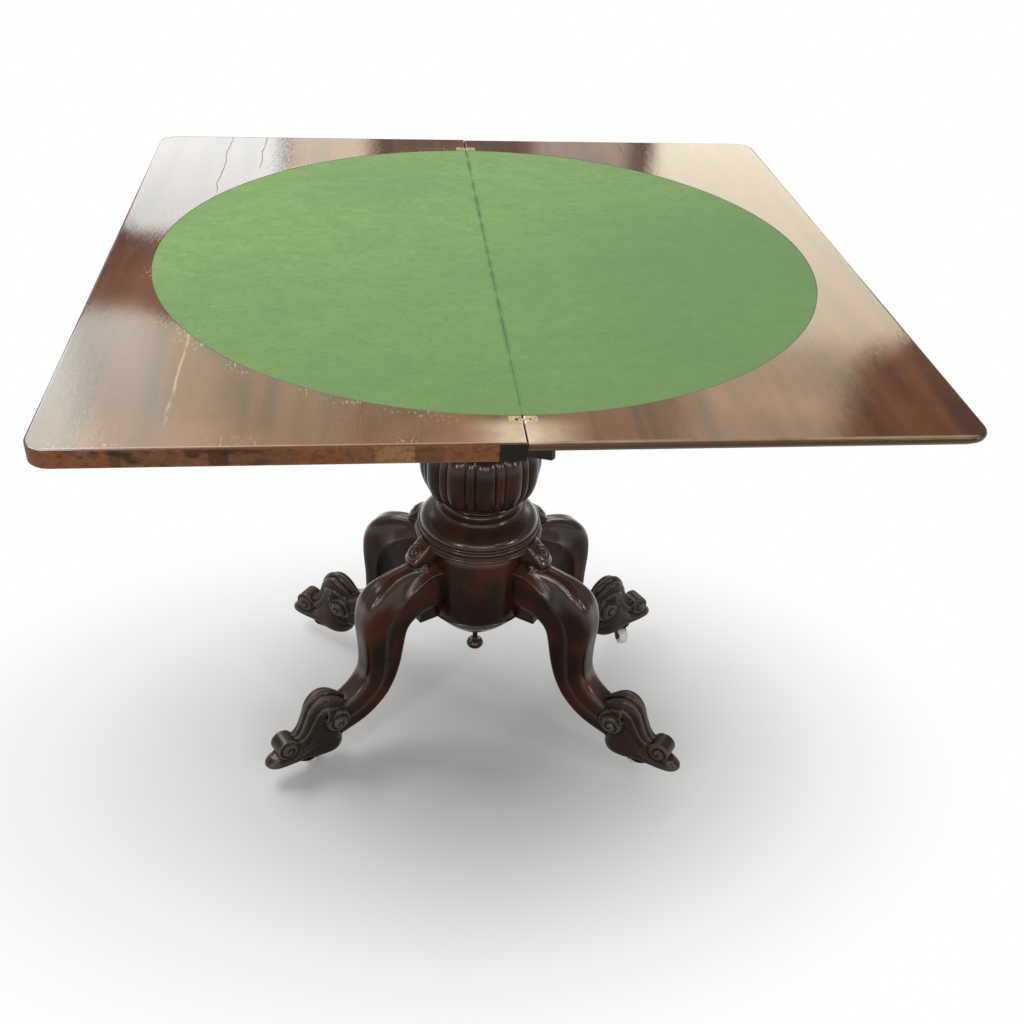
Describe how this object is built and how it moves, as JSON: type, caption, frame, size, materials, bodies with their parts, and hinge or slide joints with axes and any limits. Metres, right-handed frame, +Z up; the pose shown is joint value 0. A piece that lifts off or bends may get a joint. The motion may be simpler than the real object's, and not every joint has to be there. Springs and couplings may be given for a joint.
{
  "type": "card table",
  "caption": "Folding card table: a hinged, swivelling baize-lined top on a carved pedestal with scroll legs and casters.",
  "frame": {"origin": "on the floor, under the column's axis", "axes": "+X to the right along the open top's width, +Y to the back along the seam, +Z up"},
  "size_m": [0.92, 0.92, 0.75],
  "materials": {
    "mahogany": "dark french-polished mahogany",
    "edge_veneer": "worn crossbanded edge",
    "pine": "plain secondary timber, unpolished",
    "baize": "green wool baize",
    "brass": "aged brass",
    "iron": "dark wrought iron",
    "porcelain": "white glazed"
  },
  "bodies": {
    "base": {"front_rail": "mahogany", "back_rail": "mahogany", "left_rail": "mahogany", "right_rail": "mahogany", "pivot_bearer": "pine", "column_bearer": "pine", "left_well_board": "pine", "right_well_board": "pine", "glue_blocks": "pine", "top_block": "mahogany", "top_block_screws": "iron", "column_shaft": "mahogany", "column_dowel": "pine", "abacus": "mahogany", "column_bulb": "mahogany", "collar": "mahogany", "drum": "mahogany", "base_dome": "mahogany", "finial": "mahogany", "leg_dowels": "pine", "root_blocks": "mahogany", "caster_plates": "brass", "caster_screws": "brass", "leg_front_left": "mahogany", "leg_front_right": "mahogany", "leg_rear_left": "mahogany", "leg_rear_right": "mahogany"},
    "lower_leaf": {"lower_leaf": "mahogany", "lower_leaf_lipping": "edge_veneer", "lower_baize": "baize", "lower_hinge_plates": "brass", "lower_hinge_pins": "brass", "lower_hinge_screws": "brass", "pivot_plate": "iron", "pivot_plate_screws": "iron", "pivot_bolt": "iron", "pivot_washer": "iron", "pivot_nut": "iron", "stop_pegs": "pine"},
    "hinge_links": {"hinge_links": "brass"},
    "upper_leaf": {"upper_leaf": "mahogany", "upper_baize": "baize", "upper_hinge_plates": "brass", "upper_hinge_pins": "brass", "upper_hinge_screws": "brass"},
    "caster_front_left": {"fork_front_left": "iron", "axle_front_left": "iron"},
    "wheel_front_left": {"wheel_front_left": "porcelain"},
    "caster_front_right": {"fork_front_right": "iron", "axle_front_right": "iron"},
    "wheel_front_right": {"wheel_front_right": "porcelain"},
    "caster_rear_left": {"fork_rear_left": "iron", "axle_rear_left": "iron"},
    "wheel_rear_left": {"wheel_rear_left": "porcelain"},
    "caster_rear_right": {"fork_rear_right": "iron", "axle_rear_right": "iron"},
    "wheel_rear_right": {"wheel_rear_right": "porcelain"}
  },
  "joints": [
    {"name": "top_swivel", "type": "hinge", "parent": "base", "child": "lower_leaf", "pos_m": [-0.115, 0.115, 0.7], "axis": [0, 0, 1], "range_deg": [0, 90]},
    {"name": "link_fold", "type": "hinge", "parent": "lower_leaf", "child": "hinge_links", "pos_m": [-0.0028, 0, 0.7475], "axis": [0, -1, 0], "range_deg": [0, 90]},
    {"name": "leaf_fold", "type": "hinge", "parent": "lower_leaf", "child": "upper_leaf", "pos_m": [0, 0, 0.7503], "axis": [0, -1, 0], "range_deg": [0, 180]},
    {"name": "swivel_front_left", "type": "hinge", "parent": "base", "child": "caster_front_left", "pos_m": [-0.2587, -0.13756, 0.03], "axis": [0, 0, 1], "continuous": true},
    {"name": "roll_front_left", "type": "hinge", "parent": "caster_front_left", "child": "wheel_front_left", "pos_m": [-0.2497, -0.12197, 0.013], "axis": [-0.866, 0.5, 0], "continuous": true},
    {"name": "swivel_front_right", "type": "hinge", "parent": "base", "child": "caster_front_right", "pos_m": [0.23824, -0.17056, 0.03], "axis": [0, 0, 1], "continuous": true},
    {"name": "roll_front_right", "type": "hinge", "parent": "caster_front_right", "child": "wheel_front_right", "pos_m": [0.23208, -0.15365, 0.013], "axis": [-0.9397, -0.342, 0], "continuous": true},
    {"name": "swivel_rear_left", "type": "hinge", "parent": "base", "child": "caster_rear_left", "pos_m": [-0.23824, 0.17056, 0.03], "axis": [0, 0, 1], "continuous": true},
    {"name": "roll_rear_left", "type": "hinge", "parent": "caster_rear_left", "child": "wheel_rear_left", "pos_m": [-0.23981, 0.18849, 0.013], "axis": [-0.9962, -0.0872, 0], "continuous": true},
    {"name": "swivel_rear_right", "type": "hinge", "parent": "base", "child": "caster_rear_right", "pos_m": [0.2587, 0.13756, 0.03], "axis": [0, 0, 1], "continuous": true},
    {"name": "roll_rear_right", "type": "hinge", "parent": "caster_rear_right", "child": "wheel_rear_right", "pos_m": [0.26183, 0.11983, 0.013], "axis": [0.9848, 0.1736, 0], "continuous": true}
  ],
  "couplings": [
    {"joint": "link_fold", "follows": "leaf_fold", "ratio": 0.5}
  ]
}
